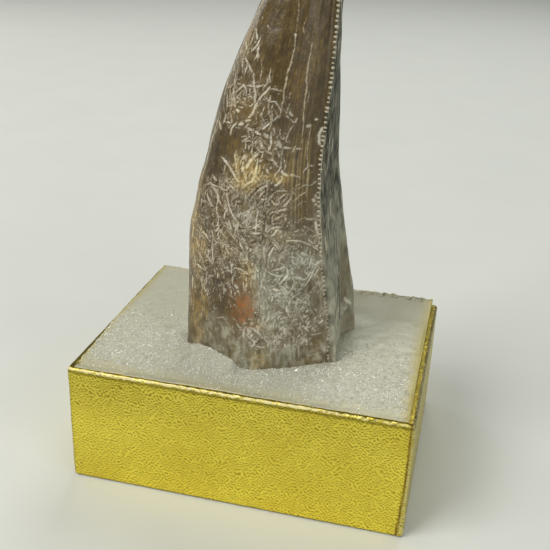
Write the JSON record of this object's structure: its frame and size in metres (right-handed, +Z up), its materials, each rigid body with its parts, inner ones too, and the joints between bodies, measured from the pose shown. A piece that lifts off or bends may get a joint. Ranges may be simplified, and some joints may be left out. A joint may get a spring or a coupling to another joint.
{
  "type": "fossil dinosaur tooth",
  "caption": "Curved, serrated fossil dinosaur tooth standing on its broken base in a wadding-filled, gold foil-covered specimen box.",
  "frame": {"origin": "middle of the underside of the specimen box", "axes": "+Z up, +X along the box's long side towards the tooth's serrated rear edge, +Y towards the back of the box"},
  "size_m": [0.054, 0.0406, 0.091],
  "materials": {
    "fossil_enamel": "satin brown fossil enamel with pale etched root marks",
    "glazed_wadding": "off-white glazed polyester wadding with small glints",
    "grey_board": "matt recycled grey board",
    "gold_foil_paper": "gold metallised paper with a fine leather-like emboss"
  },
  "bodies": {
    "root": {"tooth": "fossil_enamel", "wadding_pad": "glazed_wadding", "board_tray": "grey_board", "foil_wrap": "gold_foil_paper"}
  },
  "joints": []
}
